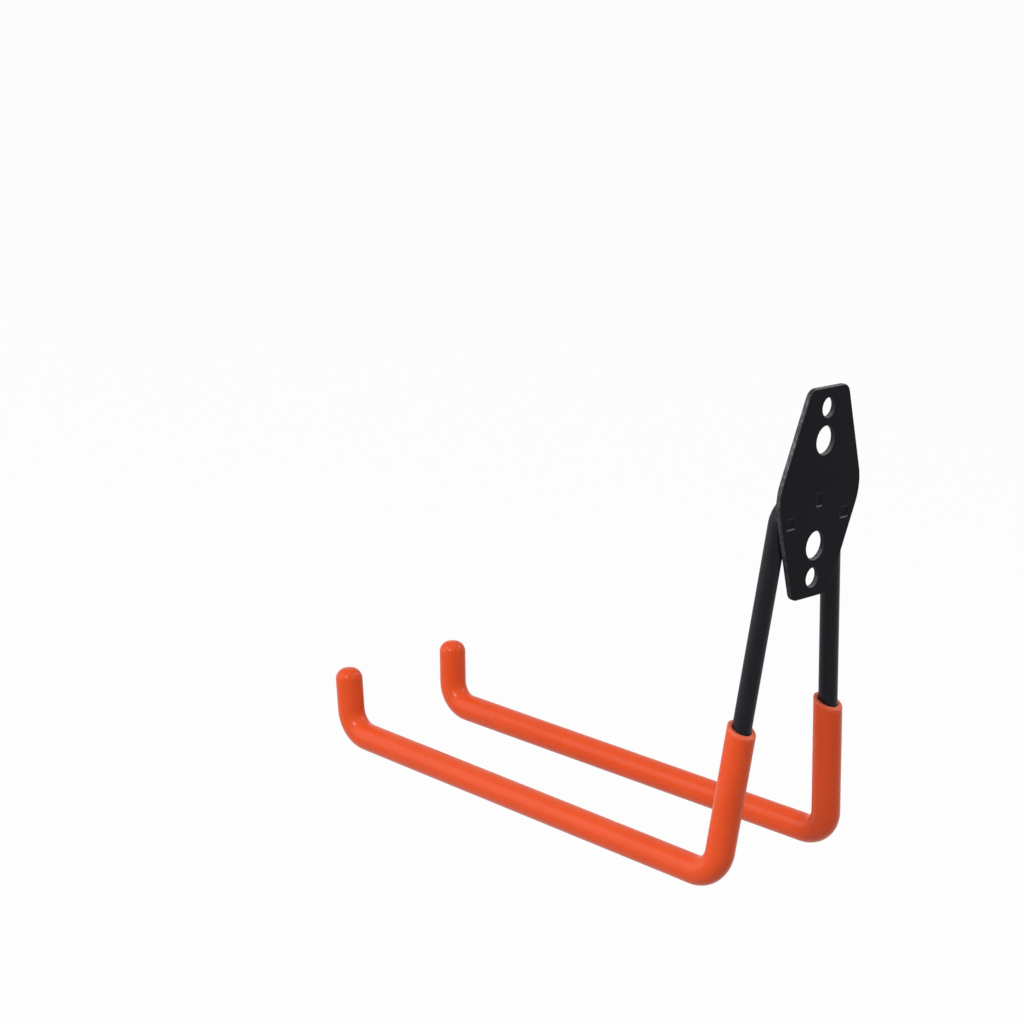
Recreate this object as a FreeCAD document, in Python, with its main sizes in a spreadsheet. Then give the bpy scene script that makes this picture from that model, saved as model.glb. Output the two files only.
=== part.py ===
import FreeCAD, Part
import math
import os
import Sketcher
from FreeCAD import Placement, Rotation, Vector

# Garage utility hook: a stamped plate that bolts to the wall, a bent steel bar
# welded to its front, and a soft sleeve over each of the bar's two arms.
# Millimetres. The origin is the middle of the plate's wall face.
# +Y points into the wall, +Z up, and the arms reach out along -Y.

# Driving sizes, one sheet row each: name, value, what it is
SIZES = [
    ("plate_thickness", 2.0, "sheet that the plate is stamped from"),
    ("plate_height", 86.0, "top edge to bottom edge"),
    ("plate_end_width", 24.4, "top and bottom edge, to the sharp corners"),
    ("plate_waist_width", 55.2, "widest line, to the sharp corners"),
    ("corner_radius", 5.0, "four outer corners"),
    ("waist_radius", 22.0, "two broad corners at the waist"),
    ("edge_bevel", 0.3, "bevel of the stamped edges and the hole mouths"),
    ("screw_hole_diameter", 7.8, "outer pair of holes"),
    ("screw_hole_margin", 8.3, "end of the plate to the middle of an outer hole"),
    ("bolt_hole_diameter", 11.5, "inner pair of holes"),
    ("hole_pitch", 13.25, "middle of an outer hole to the middle of the inner one"),
    ("weld_pad_width", 5.6, "pressed weld pad, across"),
    ("weld_pad_height", 4.8, "pressed weld pad, up and down"),
    ("weld_pad_corner", 1.2, "corner radius of a weld pad"),
    ("weld_pad_depth", 0.8, "hollow that the press leaves in the wall face"),
    ("weld_pad_draft", 30.0, "slope of the hollow's sides, in degrees"),
    ("weld_pad_rise", 1.1, "how far a pad stands off the front face"),
    ("weld_pad_drop", 4.0, "side pads below the sharp shoulder corners"),
    ("bar_diameter", 8.0, "round steel bar"),
    ("bar_gap", 0.3, "between the front face and the bar, beside the pads"),
    ("bar_end_bevel", 0.6, "bevel of the bar's two cut ends"),
    ("apex_height", -2.1, "sharp apex of the bar above the plate's middle"),
    ("apex_bend_radius", 12.0, "centre line of the bar at the apex"),
    ("shoulder_span", 34.0, "between the two sharp shoulder corners"),
    ("shoulder_height", -6.3, "sharp shoulder corner above the middle"),
    ("shoulder_bend_radius", 8.0, "centre line of the bar at a shoulder"),
    ("arm_drop", 155.7, "middle of the plate down to the arms' axes"),
    ("arm_root_span", 74.1, "between the arms' axes at the legs"),
    ("arm_bend_radius", 11.0, "centre line of the bar between leg and arm"),
    ("arm_reach", 214.0, "leg axis out to the sharp corner of the tip"),
    ("arm_tip_span", 65.6, "between the arms' axes at the tips"),
    ("arm_sag", 1.1, "how much lower the arm is at its tip"),
    ("tip_bend_radius", 11.8, "centre line of the bar between arm and tip"),
    ("tip_height", 29.3, "sharp tip corner up to the end of the sleeve"),
    ("tip_lean", 4.1, "how far the tip leans out from the wall"),
    ("tip_flare", 1.0, "how far the tip leans sideways, outwards"),
    ("sleeve_wall", 2.0, "wall of the soft sleeve"),
    ("sleeve_clearance", 0.05, "between the bar and the sleeve's bore"),
    ("sleeve_rise", 62.0, "arm's sharp root corner up the leg to the open end"),
    ("sleeve_slant", 21.0, "slope of the open end, in degrees"),
    ("sleeve_lip_bevel", 0.4, "bevel of the open end's outer edge"),
    ("sleeve_end_wall", 2.2, "closed end beyond the bar"),
    ("sleeve_dome_radius", 5.1, "rounding of the closed end"),
]

# Formulas of the sheet that more than one sketch or feature uses
SLEEVE_RADIUS = "(Sizes.bar_diameter / 2 + Sizes.sleeve_clearance + Sizes.sleeve_wall)"
BORE_RADIUS = "(Sizes.bar_diameter / 2 + Sizes.sleeve_clearance)"
SCREW_HOLE_HEIGHT = "(Sizes.plate_height / 2 - Sizes.screw_hole_margin)"
BOLT_HOLE_HEIGHT = "(Sizes.plate_height / 2 - Sizes.screw_hole_margin - Sizes.hole_pitch)"
LEG_SPREAD = "((Sizes.arm_root_span - Sizes.shoulder_span) / 2)"
LEG_FALL = "(Sizes.arm_drop + Sizes.shoulder_height)"
APEX_SLOPE = "((Sizes.apex_height - Sizes.shoulder_height) / (Sizes.shoulder_span / 2))"
# An arc rounds the apex, so the bar crosses the middle a little under its sharp corner
APEX_CROSSING = (
    "(Sizes.apex_height - Sizes.apex_bend_radius * (sqrt(1 + %s ^ 2) - 1))" % APEX_SLOPE)

# Sketch geometry: the numbers of a sketch's own axes and of a curve's own points.
# The origin is the start of the horizontal axis.
HORIZONTAL_AXIS, VERTICAL_AXIS = range(-1, -3, -1)
START, END, CENTRE = range(1, 4)
ORIGIN = (HORIZONTAL_AXIS, START)

SIDES = {"left": -1, "right": 1}

doc = FreeCAD.newDocument("garage_utility_hook")


def make_sheet():
    """One row for each driving size: its name, its value and what it is."""
    table = doc.addObject("Spreadsheet::Sheet", "Sizes")
    for row, (name, value, meaning) in enumerate(SIZES, start=1):
        table.set("A%d" % row, name)
        table.set("B%d" % row, str(value))
        table.set("C%d" % row, meaning)
        table.setAlias("B%d" % row, name)
    doc.recompute()
    return table


sheet = make_sheet()


def size(name):
    return float(getattr(sheet, name))


# Helpers for bodies, sketches and edges


def new_body(name):
    body = doc.addObject("PartDesign::Body", name)
    body.Label = name
    return body


def plane(body, role):
    """The body's own origin plane of that role."""
    for feature in body.Origin.OriginFeatures:
        if feature.Role == role:
            return feature
    raise ValueError("no origin plane " + role)


def sketch_on(body, name, role, offset):
    """A sketch on an origin plane, moved along its own axes by formulas of the sheet."""
    sketch = body.newObject("Sketcher::SketchObject", name)
    sketch.AttachmentSupport = (plane(body, role), [""])
    sketch.MapMode = "FlatFace"
    for axis, formula in offset.items():
        sketch.setExpression("AttachmentOffset.Base." + axis, formula)
    return sketch


def fix(sketch, kind, *operands):
    sketch.addConstraint(Sketcher.Constraint(kind, *operands))


def bind(sketch, kind, operands, start_value, formula):
    """A dimension of the sketch that follows a formula of the sheet."""
    place = sketch.addConstraint(Sketcher.Constraint(kind, *operands, start_value))
    sketch.setExpression("Constraints[%d]" % place, formula)


def edges_where(feature, test):
    """Names of the feature's edges that pass a test of their geometry."""
    edges = feature.Shape.Edges
    return ["Edge%d" % place for place, edge in enumerate(edges, start=1) if test(edge)]


def round_edges(body, name, base, test, formula):
    """A fillet on those edges of the last feature, with its radius from the sheet."""
    fillet = body.newObject("PartDesign::Fillet", name)
    fillet.Base = (base, edges_where(base, test))
    fillet.setExpression("Radius", formula)
    doc.recompute()
    return fillet


def bevel_edges(body, name, base, test, formula):
    """A chamfer on those edges of the last feature, with its size from the sheet."""
    chamfer = body.newObject("PartDesign::Chamfer", name)
    chamfer.Base = (base, edges_where(base, test))
    chamfer.setExpression("Size", formula)
    doc.recompute()
    return chamfer


# The plate: a rounded hexagon with four holes on its centre line.
# On the XZ plane a sketch's own axes are X and Z, and its normal is -Y.


def draw_hexagon(sketch):
    """Six lines clockwise from the top edge, mirrored about the vertical axis."""
    half_end, half_waist, half_height = 12.0, 27.0, 43.0
    corners = [
        Vector(-half_end, half_height, 0),
        Vector(half_end, half_height, 0),
        Vector(half_waist, 0, 0),
        Vector(half_end, -half_height, 0),
        Vector(-half_end, -half_height, 0),
        Vector(-half_waist, 0, 0),
    ]
    count = len(corners)
    for place in range(count):
        line = Part.LineSegment(corners[place], corners[(place + 1) % count])
        sketch.addGeometry(line, False)
    for place in range(count):
        fix(sketch, "Coincident", place, END, (place + 1) % count, START)
    top, right, bottom, left = 0, 2, 3, 5
    fix(sketch, "Symmetric", top, START, top, END, VERTICAL_AXIS)
    fix(sketch, "Symmetric", bottom, START, bottom, END, VERTICAL_AXIS)
    fix(sketch, "Symmetric", left, START, right, START, VERTICAL_AXIS)
    fix(sketch, "PointOnObject", right, START, HORIZONTAL_AXIS)
    bind(sketch, "DistanceX", (top, START, top, END), 2 * half_end, "Sizes.plate_end_width")
    bind(sketch, "DistanceX", (bottom, END, bottom, START), 2 * half_end, "Sizes.plate_end_width")
    bind(sketch, "DistanceX", (left, START, right, START), 2 * half_waist, "Sizes.plate_waist_width")
    bind(sketch, "DistanceY", (*ORIGIN, top, START), half_height, "Sizes.plate_height / 2")
    bind(sketch, "DistanceY", (bottom, START, *ORIGIN), half_height, "Sizes.plate_height / 2")


def draw_holes(sketch):
    """Two pairs of circles, each pair evenly above and below the middle."""
    pairs = (
        (4.0, "Sizes.screw_hole_diameter / 2", 34.0, SCREW_HOLE_HEIGHT),
        (6.0, "Sizes.bolt_hole_diameter / 2", 21.0, BOLT_HOLE_HEIGHT),
    )
    place = 0
    for radius, radius_formula, height, height_formula in pairs:
        for sign in (1, -1):
            circle = Part.Circle(Vector(0, sign * height, 0), Vector(0, 0, 1), radius)
            sketch.addGeometry(circle, False)
            fix(sketch, "PointOnObject", place, CENTRE, VERTICAL_AXIS)
            ends = (*ORIGIN, place, CENTRE) if sign > 0 else (place, CENTRE, *ORIGIN)
            bind(sketch, "DistanceY", ends, height, height_formula)
            bind(sketch, "Radius", (place,), radius, radius_formula)
            place += 1


def draw_weld_pad(sketch):
    """A rectangle with round corners about the sketch's origin: four arcs, four lines."""
    half_width, half_height, corner = 2.8, 2.4, 1.2
    quarter = math.pi / 2
    for place, (across, up) in enumerate([(1, 1), (-1, 1), (-1, -1), (1, -1)]):
        middle = Vector(across * (half_width - corner), up * (half_height - corner), 0)
        circle = Part.Circle(middle, Vector(0, 0, 1), corner)
        arc = Part.ArcOfCircle(circle, place * quarter, (place + 1) * quarter)
        sketch.addGeometry(arc, False)
    for place in range(4):
        after = (place + 1) % 4
        ends = (sketch.getPoint(place, END), sketch.getPoint(after, START))
        sketch.addGeometry(Part.LineSegment(*ends), False)
    for place in range(4):
        line = 4 + place
        fix(sketch, "Tangent", place, END, line, START)
        fix(sketch, "Tangent", line, END, (place + 1) % 4, START)
        fix(sketch, "Horizontal" if place % 2 == 0 else "Vertical", line)
        if place > 0:
            fix(sketch, "Equal", 0, place)
    top, left, bottom = range(4, 7)
    fix(sketch, "Symmetric", top, START, bottom, START, *ORIGIN)
    bind(sketch, "Radius", (0,), corner, "Sizes.weld_pad_corner")
    bind(sketch, "DistanceY", (bottom, START, top, START), 2 * half_height, "Sizes.weld_pad_height")
    bind(sketch, "DistanceX", (left, START, *ORIGIN), half_width, "Sizes.weld_pad_width / 2")


def crosses_the_sheet(edge):
    """A straight edge that runs through the plate's thickness."""
    return isinstance(edge.Curve, Part.Line) and abs(edge.Curve.Direction.y) > 0.99


def is_outer_corner(edge):
    return crosses_the_sheet(edge) and abs(edge.CenterOfMass.z) > size("plate_height") / 4


def is_waist_corner(edge):
    return crosses_the_sheet(edge) and abs(edge.CenterOfMass.z) < size("plate_height") / 4


def lies_in_a_face(edge):
    """An edge of the outline or of a hole, in the wall face or the front face."""
    return edge.BoundBox.YLength < size("plate_thickness") / 10


def add_weld_pad(body, name, across, up):
    """A hollow pressed into the wall face, and the pad that it raises on the front."""
    mouth = sketch_on(body, name + "_mouth", "XZ_Plane", {"x": across, "y": up})
    draw_weld_pad(mouth)
    hollow = body.newObject("PartDesign::Pocket", name + "_hollow")
    hollow.Profile = mouth
    hollow.Reversed = True
    hollow.setExpression("Length", "Sizes.weld_pad_depth")
    hollow.setExpression("TaperAngle", "-Sizes.weld_pad_draft")
    doc.recompute()
    lift = "Sizes.plate_thickness - Sizes.weld_pad_depth / 2"
    foot = sketch_on(body, name + "_foot", "XZ_Plane", {"x": across, "y": up, "z": lift})
    draw_weld_pad(foot)
    pad = body.newObject("PartDesign::Pad", name)
    pad.Profile = foot
    pad.setExpression("Length", "Sizes.weld_pad_rise + Sizes.weld_pad_depth / 2")
    doc.recompute()


def make_plate(bar):
    """The stamped plate. Each weld pad is saddled to the bar that lies on it."""
    body = new_body("plate_blank")
    outline = sketch_on(body, "plate_outline", "XZ_Plane", {})
    draw_hexagon(outline)
    blank = body.newObject("PartDesign::Pad", "plate_sheet")
    blank.Profile = outline
    blank.setExpression("Length", "Sizes.plate_thickness")
    doc.recompute()
    sheet_volume = blank.Shape.Volume

    holes = sketch_on(body, "plate_holes", "XZ_Plane", {})
    draw_holes(holes)
    punched = body.newObject("PartDesign::Pocket", "punched_holes")
    punched.Profile = holes
    punched.Type = "ThroughAll"
    punched.Reversed = True
    doc.recompute()
    if punched.Shape.Volume >= sheet_volume:
        raise RuntimeError("the holes cut nothing")

    corners = round_edges(body, "corners", punched, is_outer_corner, "Sizes.corner_radius")
    waist = round_edges(body, "waist", corners, is_waist_corner, "Sizes.waist_radius")
    bevel = "min(Sizes.edge_bevel; Sizes.plate_thickness * 0.4)"
    bevel_edges(body, "bevelled_edges", waist, lies_in_a_face, bevel)

    add_weld_pad(body, "apex_pad", "0", APEX_CROSSING)
    side_x = "(Sizes.shoulder_span / 2 + Sizes.weld_pad_drop * %s / %s)" % (LEG_SPREAD, LEG_FALL)
    side_z = "Sizes.shoulder_height - Sizes.weld_pad_drop"
    for side, sign in SIDES.items():
        add_weld_pad(body, side + "_pad", "%d * %s" % (sign, side_x), side_z)

    plate = doc.addObject("Part::Cut", "back_plate")
    plate.Label = "back_plate"
    plate.Base = body
    plate.Tool = bar
    plate.Refine = True
    doc.recompute()
    return plate


# The bar: one length of round steel with seven bends


def bent_line(corners, radii):
    """Straight runs between the corners, with an arc of the given radius at each bend."""
    edges = []
    run_start = corners[0]
    for place, radius in enumerate(radii, start=1):
        before, corner, after = corners[place - 1:place + 2]
        way_in = (corner - before).normalize()
        way_out = (after - corner).normalize()
        half_turn = way_in.getAngle(way_out) / 2
        setback = radius * math.tan(half_turn)
        inward = (way_out - way_in).normalize()
        arc_start = corner - way_in * setback
        arc_end = corner + way_out * setback
        arc_middle = corner + inward * (radius / math.cos(half_turn) - radius)
        edges.append(Part.LineSegment(run_start, arc_start).toShape())
        edges.append(Part.Arc(arc_start, arc_middle, arc_end).toShape())
        run_start = arc_end
    edges.append(Part.LineSegment(run_start, corners[-1]).toShape())
    return Part.Wire(edges)


def bar_depth():
    """Y of the bar's axis where it lies on the plate, and down both legs."""
    return -(size("plate_thickness") + size("bar_gap") + size("bar_diameter") / 2)


def arm_corners(sign):
    """Sharp corners of one side's centre line, from the shoulder to the sleeve's end."""
    depth = bar_depth()
    shoulder = Vector(sign * size("shoulder_span") / 2, depth, size("shoulder_height"))
    root = Vector(sign * size("arm_root_span") / 2, depth, -size("arm_drop"))
    tip_x = size("arm_tip_span") / 2
    tip = Vector(sign * tip_x, depth - size("arm_reach"), root.z - size("arm_sag"))
    lean = Vector(sign * size("tip_flare"), -size("tip_lean"), size("tip_height"))
    return shoulder, root, tip, tip + lean


def shortened(corners, amount):
    """The same corners with the last run shorter by that amount."""
    last_run = (corners[-1] - corners[-2]).normalize()
    return [*corners[:-1], corners[-1] - last_run * amount]


def add_path(name, wire):
    path = doc.addObject("Part::Feature", name)
    path.Shape = wire
    return path


def pipe_along(body, kind, name, path, radius_formula):
    """A round section carried along a centre line, as an added or a removed solid."""
    spine = body.newObject("PartDesign::SubShapeBinder", name + "_line")
    spine.Support = [(path, ("",))]
    doc.recompute()
    section = body.newObject("Sketcher::SketchObject", name + "_section")
    section.AttachmentSupport = [(spine, "Edge1")]
    section.MapMode = "NormalToEdge"
    section.MapPathParameter = 0.0
    section.addGeometry(Part.Circle(Vector(0, 0, 0), Vector(0, 0, 1), 5.0), False)
    fix(section, "Coincident", 0, CENTRE, *ORIGIN)
    bind(section, "Radius", (0,), 5.0, radius_formula)
    pipe = body.newObject("PartDesign::" + kind, name)
    pipe.Profile = section
    pipe.Spine = (spine, ["Edge%d" % (place + 1) for place in range(len(spine.Shape.Edges))])
    doc.recompute()
    return pipe


def make_bar():
    """The bar from one tip to the other: arm, leg and shoulder, the apex, and back down."""
    bare_end = size("sleeve_end_wall")
    left = shortened(arm_corners(SIDES["left"]), bare_end)
    right = shortened(arm_corners(SIDES["right"]), bare_end)
    apex = Vector(0, bar_depth(), size("apex_height"))
    side_bends = ["tip_bend_radius", "arm_bend_radius", "shoulder_bend_radius"]
    bends = side_bends + ["apex_bend_radius"] + side_bends[::-1]
    wire = bent_line([*left[::-1], apex, *right], [size(name) for name in bends])
    body = new_body("hook_rod")
    path = add_path("bar_centre_line", wire)
    bar = pipe_along(body, "AdditivePipe", "bar", path, "Sizes.bar_diameter / 2")

    ends = [wire.Vertexes[0].Point, wire.Vertexes[-1].Point]

    def is_cut_end(edge):
        return min((edge.CenterOfMass - end).Length for end in ends) < size("bar_diameter") / 100

    bevel = "min(Sizes.bar_end_bevel; Sizes.bar_diameter / 4)"
    bevel_edges(body, "cut_ends", bar, is_cut_end, bevel)
    return body


# The sleeves: soft tubes with a closed round end at the tip, bent with the bar


def make_sleeve(side):
    """One sleeve, from its slanted open end on the leg to its dome at the tip."""
    sign = SIDES[side]
    body = new_body("grip_sleeve_" + side)
    shoulder, root, tip, end = arm_corners(sign)
    up_the_leg = (shoulder - root).normalize()
    radius = size("bar_diameter") / 2 + size("sleeve_clearance") + size("sleeve_wall")
    slope = math.tan(math.radians(size("sleeve_slant")))
    trim = radius * (slope + 0.5)
    top = root + up_the_leg * (size("sleeve_rise") + trim)
    bends = [size("arm_bend_radius"), size("tip_bend_radius")]

    corners = [top, root, tip, end]
    outside = add_path(side + "_sleeve_line", bent_line(corners, bends))
    tube = pipe_along(body, "AdditivePipe", side + "_tube", outside, SLEEVE_RADIUS)

    def is_tip_edge(edge):
        return (edge.CenterOfMass - end).Length < radius / 100

    dome = "min(Sizes.sleeve_dome_radius; %s * 0.98)" % SLEEVE_RADIUS
    tube = round_edges(body, side + "_dome", tube, is_tip_edge, dome)

    bar_reach = size("sleeve_end_wall") - size("sleeve_clearance")
    bore_line = add_path(side + "_bore_line", bent_line(shortened(corners, bar_reach), bends))
    bore = pipe_along(body, "SubtractivePipe", side + "_bore", bore_line, BORE_RADIUS)

    # On the YZ plane a sketch's own axes are Y and Z. This one is turned by the
    # slant about the point where the sleeve's cut end crosses the leg's axis.
    cut_line = sketch_on(body, side + "_open_end", "YZ_Plane", {})
    cut_line.AttachmentOffset = Placement(Vector(0, 0, 0), Rotation(Vector(0, 0, 1), 1))
    leg_length = "sqrt(%s ^ 2 + %s ^ 2)" % (LEG_SPREAD, LEG_FALL)
    rise = "Sizes.sleeve_rise * %s / %s" % (LEG_FALL, leg_length)
    cut_line.setExpression(
        "AttachmentOffset.Base.x",
        "-(Sizes.plate_thickness + Sizes.bar_gap + Sizes.bar_diameter / 2)")
    cut_line.setExpression("AttachmentOffset.Base.y", "%s - Sizes.arm_drop" % rise)
    cut_line.setExpression("AttachmentOffset.Rotation.Angle", "-Sizes.sleeve_slant")
    draw_trim(cut_line)
    trimmed = body.newObject("PartDesign::Pocket", side + "_trimmed")
    trimmed.Profile = cut_line
    trimmed.Type = "ThroughAll"
    trimmed.SideType = "Symmetric"
    doc.recompute()
    if trimmed.Shape.Volume >= bore.Shape.Volume:
        raise RuntimeError("the open end of the %s sleeve was not trimmed" % side)

    open_end = root + up_the_leg * size("sleeve_rise")
    wall_middle = radius - size("sleeve_wall") / 2

    def is_lip(edge):
        """The outer edge of the open end: further from the leg's axis than the wall's middle."""
        if edge.BoundBox.ZMin < open_end.z - trim or not edge.isClosed():
            return False
        point = edge.valueAt(edge.FirstParameter)
        return point.distanceToLine(root, up_the_leg) > wall_middle

    lip = "min(Sizes.sleeve_lip_bevel; Sizes.sleeve_wall * 0.45)"
    bevel_edges(body, side + "_lip", trimmed, is_lip, lip)
    return body


def draw_trim(sketch):
    """A wide box above the sketch's horizontal axis, for what the slanted cut removes."""
    half_width, height = 20.0, 30.0
    ends = [
        Vector(-half_width, 0, 0),
        Vector(half_width, 0, 0),
        Vector(half_width, height, 0),
        Vector(-half_width, height, 0),
    ]
    for place in range(4):
        sketch.addGeometry(Part.LineSegment(ends[place], ends[(place + 1) % 4]), False)
    for place in range(4):
        fix(sketch, "Coincident", place, END, (place + 1) % 4, START)
    bottom, right, top, left = range(4)
    fix(sketch, "Horizontal", top)
    fix(sketch, "Vertical", right)
    fix(sketch, "Vertical", left)
    fix(sketch, "Symmetric", bottom, START, bottom, END, *ORIGIN)
    bind(sketch, "DistanceX", (bottom, START, bottom, END), 2 * half_width,
         "8 * %s" % SLEEVE_RADIUS)
    bind(sketch, "DistanceY", (right, START, right, END), height, "8 * %s" % SLEEVE_RADIUS)


def check_document():
    """Stops if any object of the document failed to rebuild."""
    for item in doc.Objects:
        if "Invalid" in item.State or "Error" in item.State:
            raise RuntimeError("%s did not rebuild: %s" % (item.Label, item.State))


def export(pieces):
    """One STEP file for each piece, once every piece is one valid solid."""
    for piece in pieces:
        shape = piece.Shape
        if shape.isNull() or not shape.isValid() or len(shape.Solids) != 1:
            raise RuntimeError("%s is not one valid solid" % piece.Label)
    os.makedirs("parts", exist_ok=True)
    for piece in pieces:
        piece.Shape.exportStep("parts/%s.step" % piece.Label)
        box = piece.Shape.optimalBoundingBox(True, False)
        print("%-18s %9.1f mm3  x %.2f %.2f  y %.2f %.2f  z %.2f %.2f" % (
            piece.Label, piece.Shape.Volume,
            box.XMin, box.XMax, box.YMin, box.YMax, box.ZMin, box.ZMax))


hook_rod = make_bar()
back_plate = make_plate(hook_rod)
sleeves = [make_sleeve(side) for side in SIDES]
doc.recompute()
check_document()
export([back_plate, hook_rod, *sleeves])
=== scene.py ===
"""Garage utility hook: a stamped plate, a bent steel bar and two soft sleeves, in a studio."""

import math

import bpy
import numpy as np
from bpy.props import FloatProperty, FloatVectorProperty, PointerProperty
from mathutils import Matrix, Vector
from mathutils.geometry import tessellate_polygon


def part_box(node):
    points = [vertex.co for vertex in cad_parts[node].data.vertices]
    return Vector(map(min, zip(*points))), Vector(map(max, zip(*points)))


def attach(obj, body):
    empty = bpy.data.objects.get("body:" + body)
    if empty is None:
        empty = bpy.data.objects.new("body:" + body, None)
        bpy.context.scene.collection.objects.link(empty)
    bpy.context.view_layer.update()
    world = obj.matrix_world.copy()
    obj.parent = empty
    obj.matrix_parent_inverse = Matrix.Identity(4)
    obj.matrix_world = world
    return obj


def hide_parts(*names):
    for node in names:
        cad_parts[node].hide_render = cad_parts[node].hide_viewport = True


bl_info = {
    "name": "Garage Utility Hook",
    "version": (1, 0, 0),
    "blender": (4, 5, 0),
    "location": "3D View > Sidebar > Hook",
    "description": "Builds a wall hook with a bent bar, grip sleeves and its studio",
    "category": "Add Mesh",
}

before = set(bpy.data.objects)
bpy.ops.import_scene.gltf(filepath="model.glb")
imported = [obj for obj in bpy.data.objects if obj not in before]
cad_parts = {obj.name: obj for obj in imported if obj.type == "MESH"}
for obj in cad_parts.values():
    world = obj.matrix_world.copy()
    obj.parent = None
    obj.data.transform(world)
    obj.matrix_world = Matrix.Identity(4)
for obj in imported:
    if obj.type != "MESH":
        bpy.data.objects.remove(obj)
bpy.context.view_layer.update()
plate_low, plate_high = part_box("back_plate")

BODY = "root"
SIDES = {"left": -1.0, "right": 1.0}


# Sizes and colours


def length(name, default, description):
    return FloatProperty(
        name=name, default=default, description=description, unit="LENGTH", precision=5)


def colour(name, default, description):
    return FloatVectorProperty(
        name=name, default=default, description=description,
        subtype="COLOR", size=3, min=0.0, max=1.0)


def plain(name, default, description):
    return FloatProperty(name=name, default=default, description=description, precision=4)


class HookPlateSizes(bpy.types.PropertyGroup):
    """The stamped plate. Its wall face lies in the plane y = 0."""
    thickness: length("Thickness", 0.002, "Sheet that the plate is stamped from")
    height: length("Height", plate_high.z - plate_low.z, "Top edge to bottom edge")
    end_width: length("End width", 0.0244, "Top and bottom edge, to the sharp corners")
    waist_width: length("Waist width", 0.0552, "Widest line, to the sharp corners")
    corner_radius: length("Corner radius", 0.005, "Four outer corners")
    waist_radius: length("Waist radius", 0.022, "Two broad corners at the waist")
    roll_over: length("Roll-over", 0.0005, "Rounding that the stamp leaves on the wall face")
    edge_radius: length("Edge radius", 0.0002, "Rounding of the edges on the front face")
    screw_hole: length("Screw hole", 0.0078, "Diameter of the outer holes")
    screw_spacing: length("Screw spacing", 0.0694, "Between the outer holes")
    bolt_hole: length("Bolt hole", 0.0115, "Diameter of the inner holes")
    bolt_spacing: length("Bolt spacing", 0.0429, "Between the inner holes")
    pad_width: length("Pad width", 0.0056, "Pressed weld pad, across")
    pad_height: length("Pad height", 0.0048, "Pressed weld pad, up and down")
    pad_corner: length("Pad corner", 0.0009, "Corner radius of a weld pad")
    apex_pad_width: length("Apex pad width", 0.0044, "The middle pad, across")
    apex_pad_height: length("Apex pad height", 0.0056, "The middle pad, up and down")
    pad_depth: length("Pad depth", 0.0004, "Hollow that the press leaves in the wall face")
    pad_draft: FloatProperty(
        name="Pad draft", default=math.radians(50.0), unit="ROTATION",
        description="Slope of the hollow's top and bottom, from straight in")
    pad_side_draft: FloatProperty(
        name="Pad side draft", default=math.radians(35.0), unit="ROTATION",
        description="Slope of the hollow's two sides, from straight in")
    pad_rise: length("Pad rise", 0.0011, "How far a pad stands off the front face")
    pad_drop: length("Pad drop", 0.004, "Side pads below the sharp shoulder corners")


class HookBarSizes(bpy.types.PropertyGroup):
    """The centre line of the round bar, by its sharp corners, and its bends."""
    diameter: length("Diameter", 0.008, "Round steel bar")
    gap: length("Gap", 0.0003, "Between the plate's front face and the bar")
    end_bevel: length("End bevel", 0.0006, "Bevel of the bar's two cut ends")
    apex_height: length("Apex height", -0.0021, "Sharp apex above the plate's middle")
    apex_bend: length("Apex bend", 0.012, "Centre line radius at the apex")
    shoulder_span: length("Shoulder span", 0.034, "Between the sharp shoulder corners")
    shoulder_height: length("Shoulder height", -0.0063, "Sharp shoulder above the middle")
    shoulder_bend: length("Shoulder bend", 0.008, "Centre line radius at a shoulder")
    arm_drop: length("Arm drop", 0.1557, "Plate's middle down to the arms' axes")
    arm_root_span: length("Root span", 0.0741, "Between the arms' axes at the legs")
    arm_bend: length("Arm bend", 0.011, "Centre line radius between leg and arm")
    arm_reach: length("Arm reach", 0.214, "Leg axis to the sharp corner of the tip")
    arm_tip_span: length("Tip span", 0.0656, "Between the arms' axes at the tips")
    arm_sag: length("Arm sag", 0.0011, "How much lower the arm is at its tip")
    tip_bend: length("Tip bend", 0.0118, "Centre line radius between arm and tip")
    tip_height: length("Tip height", 0.0293, "Sharp tip corner to the sleeve's end")
    tip_lean: length("Tip lean", 0.0041, "How far the tip leans out from the wall")
    tip_flare: length("Tip flare", 0.001, "How far the tip leans sideways, outwards")


class HookSleeveSizes(bpy.types.PropertyGroup):
    """The soft sleeve over each arm."""
    wall: length("Wall", 0.002, "Wall of the sleeve")
    clearance: length("Clearance", 0.00005, "Between the bar and the bore")
    rise: length("Rise", 0.062, "Sharp root corner up the leg to the open end")
    slant: FloatProperty(
        name="Slant", default=math.radians(21.0), unit="ROTATION",
        description="Slope of the open end, higher on the arm's side")
    lip_radius: length("Lip radius", 0.0007, "Rounding of the open end's outer edge")
    end_wall: length("End wall", 0.0022, "Closed end beyond the bar")
    dome_radius: length("Dome radius", 0.0051, "Rounding of the closed end")
    ripple: length("Ripple", 0.00002, "Unevenness of the moulded wall")


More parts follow.
